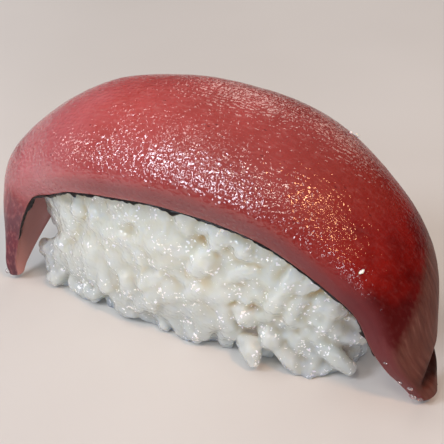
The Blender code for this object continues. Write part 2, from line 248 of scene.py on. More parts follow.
# Each lamp: azimuth and elevation in degrees, size, power in watts, colour.
LAMPS = (
    ("key_left", -34, 38, 0.16, 1.35, "#EEF2FF"),
    ("key_low", -20, 26, 0.11, 0.48, "#EEF2FF"),
    ("key_mid", 5, 58, 0.12, 0.6, "#FFF4E8"),
    ("top_left", -70, 60, 0.12, 0.27, "#FFF4F0"),
    ("warm_right", 62, 55, 0.09, 1.0, "#FFC08A"),
    ("low_front", 36, 12, 0.14, 1.0, "#F4F5FF"),
    ("spark_left", -68, 20, 0.08, 0.24, "#FFF6F0"),
    ("back_left", -156, 30, 0.2, 0.28, "#FFF0E6"),
    ("back_right", 176, 22, 0.2, 0.25, "#FFEBDC"),
)


# --- Small helpers ---
def colour(hex_value):
    """An sRGB hex value as linear red, green, blue and alpha."""
    parts = [int(hex_value[i:i + 2], 16) / 255 for i in (1, 3, 5)]
    linear = [p / 12.92 if p <= 0.04045 else ((p + 0.055) / 1.055) ** 2.4 for p in parts]
    return (*linear, 1.0)


def per(size):
    """The texture scale at which a pattern's features are this many millimetres."""
    return 1 / (size * MM)


def give(node, inputs):
    """Gives a node's sockets their values and links, by name, by number, or in order."""
    for name, value in inputs.items() if isinstance(inputs, dict) else enumerate(inputs):
        if isinstance(value, bpy.types.NodeSocket):
            node.id_data.links.new(value, node.inputs[name])
        else:
            node.inputs[name].default_value = value


def add_node(tree, kind, inputs=(), output=0, stops=None, **settings):
    """Adds a shader node with its settings, values and links, and returns one of its outputs."""
    node = tree.nodes.new("ShaderNode" + kind)
    for name, value in settings.items():
        setattr(node, name, value)
    give(node, inputs)
    if stops:
        ramp = node.color_ramp.elements
        while len(ramp) < len(stops):
            ramp.new(0.5)
        for element, (place, shade) in zip(ramp, stops):
            element.position = place
            element.color = colour(shade) if isinstance(shade, str) else (shade, shade, shade, 1.0)
    return node.outputs[output]


def new_material(name):
    """A new node material, what adds a node to it, and its Principled shader."""
    made = bpy.data.materials.new(name)
    made.use_nodes = True
    return made, partial(add_node, made.node_tree), made.node_tree.nodes["Principled BSDF"]


def mottled_material(name, size, detail, stops, inputs):
    """A material whose tones drift in patches this many millimetres across."""
    made, add, shader = new_material(name)
    place = add("TexCoord", output=3)
    cloud = add("TexNoise", {"Vector": place, "Scale": per(size), "Detail": detail})
    tone = add("ValToRGB", (cloud,), stops=stops)
    give(shader, {"Base Color": tone, **inputs})
    return made, add, shader, cloud


def one_long(vectors):
    """Vectors brought to a length of one."""
    return vectors / np.maximum(np.linalg.norm(vectors, axis=-1, keepdims=True), 1e-9)


def smooth_step(low, high, value):
    """0 below low, 1 above high, easing between."""
    s = np.clip((value - low) / (high - low), 0, 1)
    return s * s * (3 - 2 * s)


def through(stops, values, at):
    """A smooth curve that passes through each value at its stop, read at the places given."""
    slopes = np.gradient(values, stops)
    left = np.clip(np.searchsorted(stops, at, side="right") - 1, 0, len(stops) - 2)
    width = stops[left + 1] - stops[left]
    s = (at - stops[left]) / width
    start = (1 + 2 * s) * (1 - s) ** 2 * values[left] + s * (1 - s) ** 2 * width * slopes[left]
    end = s * s * (3 - 2 * s) * values[left + 1] - s * s * (1 - s) * width * slopes[left + 1]
    return start + end


def lumps(points, size, seed):
    """Smooth noise from -1 to 1 at each point, its lumps about this many millimetres across."""
    offset = Vector((seed * 13.1, seed * 7.7, seed * 3.3))
    flat = points.reshape(-1, 3) / size
    values = [noise.noise(Vector(point) + offset) for point in flat]
    return np.array(values).reshape(points.shape[:-1])


def clump_edges(points):
    """1 where clumps of grains meet, 0 on each clump: soft winding lines."""
    winding = np.stack([lumps(points, CLUMP_WINDING_SIZE, seed) for seed in (41, 42, 43)], axis=1)
    flat = (points + CLUMP_WINDING * winding) / CLUMP_SIZES
    gaps = []
    for point in flat:
        nearest = noise.voronoi(Vector(point))[0]
        gaps.append(nearest[1] - nearest[0])
    return np.exp(-((np.array(gaps) / CLUMP_EDGE) ** 2))


def add_object(name, data):
    """Puts an object into the scene."""
    made = bpy.data.objects.new(name, data)
    bpy.context.collection.objects.link(made)
    return made


def add_piece(name, points, faces, finish, node, attributes=None):
    """Makes a mesh piece from millimetre points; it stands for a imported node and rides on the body."""
    data = bpy.data.meshes.new(name)
    data.from_pydata((points * MM).tolist(), [], faces)
    data.update()
    data.shade_smooth()
    data.materials.append(finish)
    for key, values in (attributes or {}).items():
        kind, field = ("FLOAT", "value") if values.ndim == 1 else ("FLOAT_VECTOR", "vector")
        layer = data.attributes.new(key, kind, "POINT")
        layer.data.foreach_set(field, np.ascontiguousarray(values, dtype=np.float32).ravel())
    piece = add_object(name, data)
    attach(piece, "root")
    if node:
        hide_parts(node)
    return piece


# --- Slice of fish ---
def crown(along):
    """Places on the crown line and the outward directions there, as (x, z) pairs."""
    stops = np.concatenate(((0.0,), np.cumsum(CROWN_STEPS))) / CROWN_LENGTH
    place, ahead, behind = (
        np.stack([through(stops, CROWN[:, i], along + nudge) for i in range(2)], axis=1)
        for nudge in (0, NUDGE, -NUDGE)
    )
    tangent = one_long(ahead - behind)
    return place, np.stack((-tangent[:, 1], tangent[:, 0]), axis=1)


def ripple(along, edge):
    """The slight unevenness of a knife cut along the slice."""
    return EDGE_RIPPLE * sum(np.sin(wave * along + RIPPLE_PHASES[edge]) for wave in RIPPLE_WAVES)


def slice_sizes(along):
    """The slice's sizes at fractions of its length, each as one column."""
    thinning = np.clip(np.minimum(along, 1 - along) / THINNING, 0, 1) ** THINNING_CURVE
    taper = 1 - LEFT_TAPER * np.exp(-along / LEFT_TAPER_RUN)
    sizes = {
        "middle": through(WANDER_FRACTION, WANDER, along),
        "front": (through(FRACTION, FRONT_REACH, along) + ripple(along, "front")) * taper,
        "back": (through(FRACTION, BACK_REACH, along) + ripple(along, "back")) * taper,
        "drop": through(FRACTION, EDGE_DROP, along) + ripple(along, "drop"),
        "thickness": TIP_THICKNESS + (THICKNESS - TIP_THICKNESS) * thinning,
        "band": TIP_BAND + (BAND - TIP_BAND) * thinning,
        "thinning": thinning,
    }
    return {name: values[:, None] for name, values in sizes.items()}


def place_in_section(along, across, down):
    """Turns distances across the slice and below its crown into points in space."""
    place, outward = crown(along)
    x = place[:, :1] - outward[:, :1] * down
    z = place[:, 1:] - outward[:, 1:] * down
    return np.stack((x, across, z), axis=2)


def settle(along):
    """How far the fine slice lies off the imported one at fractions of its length."""
    nearby = [np.clip(along + shift, 0, 1) for shift in SETTLE_SPREAD]
    return sum(
        np.stack([through(SETTLE[:, 0], SETTLE[:, i], at) for i in (1, 2, 3)], axis=-1) for at in nearby
    ) / len(nearby)


def groove_line(along):
    """Where the slanting crease at the right end runs across the slice."""
    return GROOVE_TURN - GROOVE_SLANT * (along - GROOVE_AT)


def groove(along, turn):
    """The slanting crease that parts the right end from its back lip, 1 at its deepest."""
    ends = smooth_step(*GROOVE_IN, along) * (1 - smooth_step(*GROOVE_OUT, along))
    return ends * np.exp(-(((turn - groove_line(along)) / GROOVE_WIDTH) ** 2))


def arc(turn):
    """Shares of reach and of drop at turns across the slice's arch, from -1 to 1."""
    return np.sin(turn * ARCH) / math.sin(ARCH), (1 - np.cos(turn * ARCH)) / (1 - math.cos(ARCH))


def between(start, end, share):
    """Values a share of the way from start to end."""
    return start + (end - start) * share


def slice_loops(along):
    """Closed cross-sections: over the top, down the back cut face, under, and up the front."""
    size = slice_sizes(along)
    drop = size["drop"]
    shoulder_down = drop - size["band"] * math.cos(BAND_LEAN)
    lean = size["band"] * math.sin(BAND_LEAN)
    back_edge = size["middle"] + size["back"]
    front_edge = size["middle"] - size["front"]

    turn = np.linspace(-1, 1, TOP_POINTS)
    sideways, downward = arc(turn)
    over = size["middle"] + (np.where(turn < 0, size["front"], size["back"]) + lean) * sideways
    folded = np.clip((along[:, None] - FOLD_START) / (1 - FOLD_START), 0, 1)
    over_down = shoulder_down * downward
    over_down = over_down + FOLD_DEPTH * folded * np.exp(-(((turn - FOLD_AT) / FOLD_WIDTH) ** 2))
    over_down = over_down + GROOVE_DEPTH * groove(along[:, None], turn)

    turn = np.linspace(1, -1, UNDER_POINTS)
    sideways, downward = arc(turn)
    reach = np.where(turn < 0, size["front"], size["back"]) - LEDGE * size["thinning"]
    under = size["middle"] + reach * sideways
    deep = between(size["thickness"], drop - LEDGE_RISE * size["thinning"], downward)

    fall = np.linspace(0, 1, BAND_POINTS + 1)[1:]
    climb = np.linspace(0, 1, BAND_POINTS + 1)[:-1]
    ledge_run = np.linspace(0, 1, LEDGE_POINTS + 2)[1:-1]
    across = np.concatenate((
        over, back_edge + lean * (1 - fall), between(back_edge, under[:, :1], ledge_run),
        under, between(under[:, -1:], front_edge, ledge_run), front_edge - lean * climb,
    ), axis=1)
    down = np.concatenate((
        over_down, between(shoulder_down, drop, fall), between(drop, deep[:, :1], ledge_run),
        deep, between(deep[:, -1:], drop, ledge_run), between(drop, shoulder_down, climb),
    ), axis=1)
    return place_in_section(along, across, down)


def around_weights():
    """For each point round a section: its turn, its share of cut face and underside, how far it eases."""
    _, back_face, back_ledge, beneath, front_ledge, front_face, total = RUN_STARTS
    across, face, under, easing = np.zeros(total), np.zeros(total), np.zeros(total), np.ones(total)
    across[:back_face] = np.linspace(-1, 1, TOP_POINTS)
    across[back_face:beneath] = 1
    across[beneath:front_ledge] = np.linspace(1, -1, UNDER_POINTS)
    across[front_ledge:] = -1
    face[back_face:back_ledge] = 1
    face[front_face:] = 1
    under[back_ledge:front_face] = 1
    easing[back_face + BAND_POINTS // 2:front_face + BAND_POINTS // 2] = 0
    return across, face, under, easing


def ease_around(values, passes, weights):
    """Rounds of drawing each point towards its two neighbours along the section."""
    for _ in range(passes):
        middle = (np.roll(values, 1, axis=1) + np.roll(values, -1, axis=1)) / 2
        values = values + (middle - values) * weights * 0.5
    return values


def ease_along(loops, along, passes):
    """Rounds of drawing each section towards its two neighbours, except near the slice's ends."""
    held = smooth_step(*LEFT_HELD, along) * smooth_step(*RIGHT_HELD, 1 - along)
    for _ in range(passes):
        middle = (loops[2:] + loops[:-2]) / 2
        loops[1:-1] += (middle - loops[1:-1]) * (held[1:-1] * 0.5)[:, None, None]
    return loops


def grid_normals(points):
    """Outward directions of a grid of closed loops."""
    lengthwise = np.gradient(points, axis=0)
    around = np.roll(points, -1, axis=1) - np.roll(points, 1, axis=1)
    normals = one_long(np.cross(around, lengthwise))
    outward = points - points.mean(axis=1, keepdims=True)
    return normals * np.sign((normals * outward).sum())


def tip_rings(loop, inner):
    """Rings that shrink an end loop to a rounded tip, away from the loop before it, and the tip's point."""
    centre = loop.mean(axis=0)
    outward = one_long((loop - inner).mean(axis=0))
    angles = np.linspace(0, math.pi / 2, TIP_RINGS + 2)[1:-1]
    rings = [
        centre + (loop - centre) * math.cos(angle) + outward * TIP_BULGE * math.sin(angle)
        for angle in angles
    ]
    return rings, centre + outward * TIP_BULGE


def tube(loops, start_point, end_point):
    """Points and faces of a closed skin over loops of equal length, with a fan at each end."""
    rings, count = loops.shape[:2]
    points = np.concatenate((loops.reshape(-1, 3), start_point[None], end_point[None]))
    ring, i = np.meshgrid(np.arange(rings - 1), np.arange(count), indexing="ij")
    j = (i + 1) % count
    sides = np.stack((ring * count + i, (ring + 1) * count + i, (ring + 1) * count + j, ring * count + j), -1)
    faces = sides.reshape(-1, 4).tolist()
    first, last = rings * count, rings * count + 1
    end = (rings - 1) * count
    for k in range(count):
        following = (k + 1) % count
        faces.append((following, first, k))
        faces.append((end + k, last, end + following))
    return points, faces


def slice_surface():
    """The slice as loops in the formulas' own place, with its two tips and what the loops are coloured by."""
    along = np.linspace(0, 1, LOOPS)
    across, face, under, easing = around_weights()
    loops = slice_loops(along)
    loops = ease_around(loops, SHOULDER_PASSES, easing[None, :, None])
    loops = ease_around(loops, EDGE_PASSES, 1.0)
    loops = ease_along(loops, along, LENGTH_PASSES)
    start_rings, start = tip_rings(loops[0], loops[1])
    end_rings, end = tip_rings(loops[-1], loops[-2])
    loops = np.concatenate((start_rings[::-1], loops, end_rings))
    along = np.concatenate((np.zeros(TIP_RINGS), along, np.ones(TIP_RINGS)))
    return along, across, face, under, loops, start, end


def to_frame():
    """Shift from the section formulas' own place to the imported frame, in plan."""
    loops = slice_surface()[4].reshape(-1, 3)
    low, high = loops.min(axis=0), loops.max(axis=0)
    fish_low, fish_high = (np.array(corner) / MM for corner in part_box("fish"))
    shift = (fish_low + fish_high) / 2 - (low + high) / 2
    shift[2] = 0
    return shift


def around_run(loops):
    """How far each point lies round its section from the front shoulder; the front cut face is negative."""
    step = np.linalg.norm(np.roll(loops, -1, axis=1) - loops, axis=2)
    run = np.cumsum(step, axis=1) - step
    run[:, RUN_STARTS[4]:] -= step.sum(axis=1)[:, None]
    return run


def make_fish(finish):
    """The slice, with the values that colour it along, across and round its sections."""
    along, across, face, under, loops, start, end = slice_surface()
    loops = loops + SHIFT + settle(along)[:, None, :]
    sag = BACK_SAG * np.exp(-(((along - BACK_SAG_AT) / BACK_SAG_RUN) ** 2))
    loops[..., 2] -= sag[:, None] * smooth_step(-0.1, 0.7, across)
    normals = grid_normals(loops)
    relief = sum(depth * lumps(loops, size, seed) for depth, size, seed in FISH_RELIEF)
    top = 1 - CUT_SMOOTHNESS * np.maximum(face, under)
    loops = loops + normals * (relief * top)[..., None]
    ends = settle(np.array((0.0, 1.0)))
    points, faces = tube(loops, start + SHIFT + ends[0], end + SHIFT + ends[1])

    along, across = np.broadcast_arrays(along[:, None], across[None, :])
    past_line = across + RIDGE_SLANT * (along - RIDGE_AT)
    ridge = smooth_step(-0.15, 0.3, past_line) * smooth_step(0.78, 0.84, along)
    pale_end = smooth_step(0.0, PALE_END_RUN, along - PALE_END_AT - PALE_END_SLANT * (across + 1))
    # The cut face's tone, partly its own duller colour and partly painted shade of a face turned down, creeps
    # up over the shoulder as painted shade and reflection, softly on the left and sharply on the right.
    left_painted_shade = 0.5 * smooth_step(0.3, 0.95, -across) * (1 - smooth_step(0.62, 0.8, along))
    right_painted_shade = 0.9 * smooth_step(0.76, 1.06, -across) * smooth_step(0.68, 0.84, along)
    # Painted shade: the crease at the right end and the flesh just left of it are coloured near-black.
    groove_painted_shade = smooth_step(-0.7, 0.15, across - groove_line(along)) * (1 - smooth_step(0.75, 1.0, across))
    groove_painted_shade = groove_painted_shade * smooth_step(*SHADE_IN, along) * (1 - smooth_step(*SHADE_OUT, along))
    cut_face_and_painted_shade = np.maximum(ease_around(face[None, :], FACE_PASSES, 1.0), left_painted_shade + right_painted_shade)
    cut_face_and_painted_shade = cut_face_and_painted_shade * smooth_step(*FACE_IN, along)
    # Painted light: the underside gets a paler colour than the shade it lies in.
    underside_painted_light = ease_around(under[None, :], UNDER_PASSES, 1.0) + 0 * along
    fibre = np.stack((along * CROWN_LENGTH / FIBRE_STRETCH, around_run(loops), 0 * along), axis=-1) * MM
    fibre = np.concatenate((fibre.reshape(-1, 3), fibre[0, :1], fibre[-1, :1]))
    values = {
        "along": along, "face": cut_face_and_painted_shade, "under": underside_painted_light, "ridge": ridge, "pale_end": pale_end,
        # groove: painted shade in the crease at the right end
        "groove": np.maximum(groove(along, across), groove_painted_shade),
    }
    attributes = {
        name: np.concatenate((value.ravel(), (value[0, 0], value[-1, 0]))) for name, value in values.items()
    }
    attributes["fibre"] = fibre
    return add_piece("fish_slice", points, faces, finish, "fish", attributes), loops


def raw_fish():
    """Raw tuna-like flesh, knife-cut and wet: dense, slightly translucent, with a film of water.

    Its fine muscle grain breaks the light into short glints, and its colour runs from pink at the
    left end over red to a deep dark red, with a brown muscle band at the back of the right end.
    Painted into the colour are shade at the dark left tip, in the deep red and brown-mauve of the
    right end, in its groove and on the cut face, and light on the underside.
    """
    made, add, shader = new_material("raw_fish_wet")
    place = add("TexCoord", output=3)
    fibre = add("Attribute", output=1, attribute_name="fibre")
    along, face, under, ridge, pale_end, crease = (
        add("Attribute", output=2, attribute_name=name)
        for name in ("along", "face", "under", "ridge", "pale_end", "groove")
    )

    # The cut's colour, from the left end to the right, drifting in patches of 9 mm: partly the flesh's own,
    # partly painted shade in the dark left tip and in the deep dark red towards the right end.
    cloud = add("TexNoise", {"Vector": place, "Scale": per(9), "Detail": 3.0})
    shifted = add("MapRange", (cloud, 0.3, 0.7, -0.06, 0.06))
    graded = add("Math", (along, shifted), operation="ADD")
    flesh = add("ValToRGB", (graded,), stops=(
        (0.0, "#4E343A"), (0.07, "#64363F"), (0.13, "#822A31"), (0.22, "#B66066"), (0.32, "#BD5E60"),
        (0.44, "#B24744"), (0.54, "#99322A"), (0.62, "#922A21"), (0.7, "#8B261A"), (0.79, "#7E130C"),
        (0.86, "#4A0000"),
    ))

    # Threads of connective tissue 0.7 mm wide, paler than the flesh, and small dark pores.
    streaks = add("TexNoise", {"Vector": fibre, "Scale": per(0.7), "Detail": 3.0})
    fading = add("MapRange", (along, 0.45, 0.85, 0.3, 0.04))
    streaked = add("MapRange", (streaks, 0.5, 0.8))
    streaked = add("Math", (streaked, fading), operation="MULTIPLY")
    pore = add("TexVoronoi", {"Vector": fibre, "Scale": per(1.5)})
    pored = add("MapRange", (pore, 0.1, 0.05, 0.0, 0.8))

    # The darker areas of the right end, with frayed borders: the brown-mauve tip, partly painted shade, and
    # the brown muscle with its fibres.
    fray = add("MapRange", (streaks, 0.3, 0.7, -0.2, 0.2))
    frayed = []
    for area in (pale_end, ridge):
        ragged = add("Math", (area, fray), operation="ADD")
        frayed.append(add("MapRange", (ragged, 0.22, 0.9, 0.0, 0.95)))
    long_way = add("VectorMath", (fibre, (0.3, 1.0, 1.0)), operation="MULTIPLY")
    sinew = add("TexNoise", {"Vector": long_way, "Scale": per(0.8), "Detail": 3.0})
    muscle = add("ValToRGB", (sinew,), stops=(
        (0.35, "#532A21"), (0.5, "#5E3328"), (0.62, "#663B31"), (0.74, "#7A4E44"),
    ))

    # The groove's near-black is painted shade.
    painted_groove_shade, on_face_and_painted_shade, beneath = (
        add("MapRange", {0: area, 4: share})
        for area, share in ((crease, 0.9), (face, 0.9), (under, 0.8))
    )
    for weight, tone in (
        (streaked, colour("#D08A84")), (pored, colour("#5E0C0C")), (frayed[0], colour("#6C3A38")),
        # the cut face's mauve: partly its own duller tone, partly painted shade
        (frayed[1], muscle), (painted_groove_shade, colour("#1C0604")), (on_face_and_painted_shade, colour("#6B3235")),
        # painted light on the underside
        (beneath, colour("#BC8880")),
    ):
        flesh = add("Mix", {0: weight, 6: flesh, 7: tone}, 2, data_type="RGBA")

    # Muscle grain under the film of water, 0.5 mm, as fine as shows; the film thins out at both ends.
    grain = add("TexNoise", {"Vector": place, "Scale": per(0.5), "Detail": 0.0, "Distortion": 0.4})
    threads = add("TexNoise", {"Vector": fibre, "Scale": per(0.5), "Detail": 0.0})
    height = add("Math", (grain, threads), operation="ADD")
    bump = add("Bump", {"Strength": 1.0, "Distance": 0.135 * MM, "Height": height})
    wet = add("MapRange", (along, 0.62, 0.84, 0.95, 0.04))
    dry_end = add("MapRange", (along, 0.05, 0.16, 0.2, 1.0))
    wet = add("Math", (wet, dry_end), operation="MULTIPLY")
    moist = add("MapRange", {0: ridge, 4: 0.12})
    wet = add("Math", (wet, moist), operation="ADD")
    give(shader, {
        "Base Color": flesh, "Roughness": 0.5, "Specular IOR Level": 0.06,
        "Coat Weight": wet, "Coat Roughness": 0.1, "Coat IOR": 1.7, "Coat Normal": bump,
        "Subsurface Weight": 0.25, "Subsurface Radius": (1.0, 0.25, 0.2), "Subsurface Scale": 2.0 * MM,
    })
    return made


# --- Crumbs and droplets ---
# Fraction of the slice's length, turn from front (-1) to back (1), length, width.
CRUMBS = ((0.67, 0.45, 0.8, 0.65), (0.664, 0.36, 0.5, 0.45), (0.792, -0.75, 0.95, 0.5))
DROPLETS = (
    (0.978, -1.02, 0.9, 0.5), (0.97, -1.15, 0.8, 0.35), (0.998, -1.15, 1.3, 0.6), (1.0, -1.0, 0.9, 0.5),
    (0.935, -1.1, 0.7, 0.3), (0.998, 0.4, 0.7, 0.35), (0.0, -0.6, 1.2, 1.0),
)
SINK = 0.2  # share of its width by which each is sunk into the slice
SPECK_RINGS, SPECK_POINTS = 9, 16


def make_specks(name, places, finish, roughness, fish_loops):
    """Small lumps or drops that lie on the slice, each a little uneven."""
    polar, around = np.meshgrid(
        np.linspace(0, math.pi, SPECK_RINGS + 2)[1:-1],
        np.arange(SPECK_POINTS) * 2 * math.pi / SPECK_POINTS, indexing="ij",
    )
    unit = np.stack((np.cos(polar), np.sin(polar) * np.cos(around), np.sin(polar) * np.sin(around)), axis=-1)
    normals = grid_normals(fish_loops)
    points, faces = np.zeros((0, 3)), []
    for i, (along, turn, length, width) in enumerate(places):
        ring = TIP_RINGS + round(along * (LOOPS - 1))
        spot = round((turn + 1) / 2 * (TOP_POINTS - 1))
        place, out = fish_loops[ring, spot], normals[ring, spot]
        ahead = fish_loops[ring, spot + 1 if spot + 1 < TOP_POINTS else spot - 1] - place
        ahead = one_long(ahead - out * (ahead @ out))
        axes = np.stack((ahead * length / 2, np.cross(out, ahead) * width / 2, out * width / 2))
        bumpy = 1 + roughness * lumps(unit + i * 5, 0.7, 31)
        centre = place + out * width * (0.5 - SINK)
        shape = (unit * bumpy[..., None]) @ axes + centre
        part, part_faces = tube(shape, centre + axes[0], centre - axes[0])
        faces += [tuple(corner + len(points) for corner in face) for face in part_faces]
        points = np.concatenate((points, part))
    add_piece(name, points, faces, finish, None)


def rice_crumb():
    """Dried crumb of rice: dull and white."""
    return mottled_material("rice_crumb_dry", 0.5, 1.0, ((0.35, "#E4E0D6"), (0.65, "#FBFAF6")), {
        "Roughness": 0.5, "Subsurface Weight": 0.3, "Subsurface Scale": 0.5 * MM,
    })[0]


def clear_water():
    """Drops of water and fish juice: clear, each with a bright point of light."""
    return mottled_material("clear_water_drop", 0.6, 0.0, ((0.3, "#F4E8E6"), (0.7, "#FFFFFF")), {
        "Roughness": 0.03, "IOR": 1.34, "Transmission Weight": 0.85,
    })[0]


# --- Strip of skin ---
SKIN_WIDTH = 1.8
SKIN_AT = np.array((0.055, 0.1, 0.14, 0.2, 0.3, 0.55, 0.8, 0.93))  # fractions of the slice's length
SKIN_THICKNESSES = np.array((0.12, 0.4, 0.55, 0.6, 0.36, 0.36, 0.32, 0.16))
# Thicker torn places, partly dark blots of painted shade for gaps between slice and rice: fraction of the
# slice's length, half length, extra thickness.
SKIN_KNOTS_AND_GAP_SHADE = (
    (0.32, 0.008, 0.5), (0.438, 0.005, 0.4), (0.45, 0.005, 0.5), (0.515, 0.007, 0.6), (0.71, 0.006, 0.25),
    (0.898, 0.004, 0.9),
)
SKIN_LOOPS = 420
SKIN_RUN = 120  # millimetres along which its tears wander
TEARS = ((0.35, 0.9), (0.35, 3.4))  # depth and size of the fine tears and of the long ones
TORN_FROM = 0.4  # thicker than this, the skin is torn to its full depth
THINNEST = 0.08
SKIN_OUT, SKIN_WAVER, SKIN_WAVER_SIZE = 0.05, 0.12, 2.0  # how its outer edge stands and wavers
SKIN_TUCK = 0.1  # how far it is tucked up against the slice
SKIN_ROUNDING = 0.3


def make_skin(finish):
    """A thin torn strip along the slice's lower front edge, uneven in how far it hangs below it; its black is
    partly painted shade for the gap between slice and rice.
    """
    along = np.linspace(SKIN_AT[0], SKIN_AT[-1], SKIN_LOOPS)
    size = slice_sizes(along)
    spots = np.stack((along * SKIN_RUN, 0 * along, 0 * along), axis=1)
    (fine, fine_size), (long, long_size) = TEARS
    tear = fine * lumps(spots, fine_size, 5) + long * np.maximum(lumps(spots, long_size, 6), -0.4)
    thick = np.interp(along, SKIN_AT, SKIN_THICKNESSES)
    thick = thick + tear * np.minimum(thick, TORN_FROM) / TORN_FROM
    for at, run, extra in SKIN_KNOTS_AND_GAP_SHADE:
        thick = thick + extra * np.exp(-(((along - at) / run) ** 2))
    thick = np.maximum(thick, THINNEST)[:, None]
    width = (SKIN_WIDTH * size["thinning"] ** 0.5) * np.ones_like(thick)
    waver = SKIN_WAVER * lumps(spots, SKIN_WAVER_SIZE, 7)[:, None]
    outer = size["middle"] - size["front"] + SKIN_OUT + waver
    slope = LEDGE_RISE / LEDGE
    top = size["drop"] - SKIN_TUCK
    round_off = thick * SKIN_ROUNDING
    across = np.concatenate((
        outer + round_off, outer, outer, outer + round_off, outer + width, outer + width
    ), axis=1)
    down = np.concatenate((
        top, top + round_off, top + thick - round_off, top + thick,
        top + thick - width * slope, top - width * slope,
    ), axis=1)
    loops = place_in_section(along, across, down) + SHIFT + settle(along)[:, None, :]
    points, faces = tube(loops, loops[0].mean(axis=0), loops[-1].mean(axis=0))
    add_piece("skin_strip", points, faces, finish, "skin_edge")


def dark_skin():
    """Dark fish skin, thin and moist: near-black, with small wet glints; on the strip its black is partly
    painted shade.
    """
    stops = ((0.35, "#060507"), (0.7, "#161314"))
    made, add, shader, cloud = mottled_material("dark_skin_moist", 1.5, 3.0, stops, {
        "Roughness": 0.3, "Specular IOR Level": 0.25,
    })
    give(shader, {"Normal": add("Bump", {"Strength": 0.8, "Distance": 0.2 * MM, "Height": cloud})})
    return made


# --- Block of rice ---
def block_sizes(height):
    """Half length and half width of the block at a height, its top closing as a dome."""
    wall = np.minimum(height, RICE_HEIGHTS[-1])
    rise = np.clip((height - RICE_HEIGHTS[-1]) / RICE_DOME, 0, 0.999)
    closing = np.sqrt(1 - rise**2)
    return [
        np.interp(wall, RICE_HEIGHTS, half + OUTER_GRAINS) * closing
        for half in (RICE_HALF_LENGTH, RICE_HALF_WIDTH)
    ]


def wall_place(angle, height):
    """A place on the block's wall and the outward direction there."""
    length, width = block_sizes(height)
    power = 2 / RICE_EXPONENT
    unit = [np.sign(f(angle)) * np.abs(f(angle)) ** power for f in (np.cos, np.sin)]
    x, y = length * unit[0], width * unit[1]
    slope = RICE_EXPONENT - 1
    out = np.array((
        np.sign(x) * abs(x / length) ** slope / length, np.sign(y) * abs(y / width) ** slope / width, 0.0
    ))
    centre = RICE_CENTRE + SHIFT[:2]
    return np.array((x + centre[0], y + centre[1], height)), one_long(out)


def on_front(wall, low, along, up, stands):
    """A point this far out of the swelling front wall, at a distance along the block and a height."""
    length = block_sizes(up)[0]
    share = np.clip((along - RICE_CENTRE[0] - SHIFT[0]) / length, -0.999, 0.999)
    angle = -math.acos(math.copysign(abs(share) ** (RICE_EXPONENT / 2), share))
    place, out = wall_place(angle, up)
    return place + out * (stands - read_field(wall, (place[None] - low) / VOXEL)[0])


def clear_rods(wall, low):
    """The grains that show singly, and the creases and hollows, as (start, end, width)."""
    grains, dents = (
        [(np.array(start), np.array(end), width) for start, end, width in rods]
        for rods in (END_GRAINS, HOLLOWS)
    )

    def on_wall(rods):
        return [
            (on_front(wall, low, *start, out), on_front(wall, low, *end, out), width)
            for start, end, out, width in rods
        ]

    grains += on_wall(
        (start, end, stands - width / 2, width) for start, end, stands, width in FRONT_GRAINS
    )
    creases = on_wall((start, end, CREASE_IN, width + CREASE_IN) for start, end, width in CREASES)
    return grains, creases + dents


def scattered_grains(rng, wall, low, clear):
    """Grains lying in the wall side by side, in layers: each layer fills what the last left open."""
    grains = []
    kept = np.concatenate([
        start + (end - start) * np.linspace(0.1, 0.9, STATIONS)[:, None] for start, end, _ in clear
    ])
    for tries, room, stands_out, heights in LAYERS:
        for _ in range(tries):
            place, out = wall_place(rng.uniform(0, 2 * math.pi), rng.uniform(*heights))
            stands = rng.uniform(*stands_out)
            width, length = rng.uniform(*GRAIN_WIDTHS), rng.uniform(*GRAIN_LENGTHS)
            lie, tilt = math.radians(rng.normal(*LIE)), math.radians(rng.normal(*TILT))
            bend = rng.uniform(-BEND, BEND)
            swell = -read_field(wall, (place[None] - low) / VOXEL)[0]
            middle = place + out * (stands + swell - width / 2)
            beside = np.cross(out, (0, 0, 1))
            axis = (beside * math.cos(lie) + np.array((0, 0, 1)) * math.sin(lie)) * math.cos(tilt)
            axis = axis + out * math.sin(tilt)
            stations = middle + axis * (length - width) / 2 * np.linspace(-1, 1, STATIONS)[:, None]
            if np.linalg.norm(kept[:, None] - stations, axis=2).min() < room:
                continue
            kept = np.concatenate((kept, stations))
            grains.append((middle, axis, length, width, bend))
    return grains


def grain_distance(points, middle, axis, length, width, bend):
    """Distance of each point from a cooked grain: a bent rod, plump in the middle."""
    offset = points - middle
    half = (length - width) / 2 + GRAIN_END * width
    run = np.clip(offset @ axis, -half, half)
    share = run / half
    side = one_long(np.cross(axis, BEND_AWAY))
    centre = run[..., None] * axis + (bend * (1 - share**2))[..., None] * side
    return np.linalg.norm(offset - centre, axis=-1) - width / 2 * (1 - GRAIN_TAPER * share**2)


def slice_distance(fish, low, shape):
    """Signed distance to the slice on the rice's grid, cut off a few voxels from its surface."""
    fish.data.calc_loop_triangles()
    corners = np.zeros(len(fish.data.vertices) * 3, np.float32)
    fish.data.vertices.foreach_get("co", corners)
    faces = np.zeros(len(fish.data.loop_triangles) * 3, np.int32)
    fish.data.loop_triangles.foreach_get("vertices", faces)
    points = (corners.reshape(-1, 3) / MM - low) / VOXEL
    grid = openvdb.FloatGrid.createLevelSetFromPolygons(
        points.astype(np.float32), triangles=faces.reshape(-1, 3).astype(np.uint32), halfWidth=8
    )
    field = np.zeros(shape, np.float32)
    grid.copyToArray(field)
    return field * VOXEL


def blurred(values):
    """Values averaged with their neighbours along each axis."""
    for axis in tuple(range(3)) * BLUR_PASSES:
        rows = np.moveaxis(values, axis, 0)
        padded = np.concatenate([rows[:1]] * (BLUR_REACH + 1) + [rows] + [rows[-1:]] * BLUR_REACH)
        total = np.cumsum(padded, axis=0, dtype=np.float64)
        width = 2 * BLUR_REACH + 1
        rows = ((total[width:] - total[:-width]) / width).astype(np.float32)
        values = np.moveaxis(rows, 0, axis)
    return values


